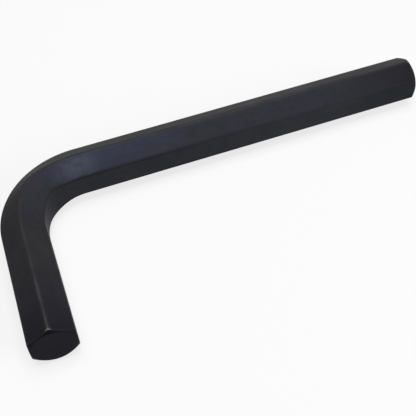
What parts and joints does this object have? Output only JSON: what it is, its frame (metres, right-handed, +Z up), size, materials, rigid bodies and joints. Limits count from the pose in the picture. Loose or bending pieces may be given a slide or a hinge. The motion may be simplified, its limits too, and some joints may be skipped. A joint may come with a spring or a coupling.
{
  "type": "hex key",
  "caption": "L-shaped key bent from blackened hexagonal steel bar, with flat chamfered ends that drive socket screws.",
  "frame": {"origin": "centre of the outer box in plan, on the surface that the key lies on", "axes": "+X along the long arm towards its end, -Y along the short arm towards its end, +Z up, square to the plane of the bend"},
  "size_m": [0.154, 0.07, 0.0159],
  "materials": {
    "blackened_steel": "satin"
  },
  "bodies": {
    "root": {"hex_key": "blackened_steel"}
  },
  "joints": []
}
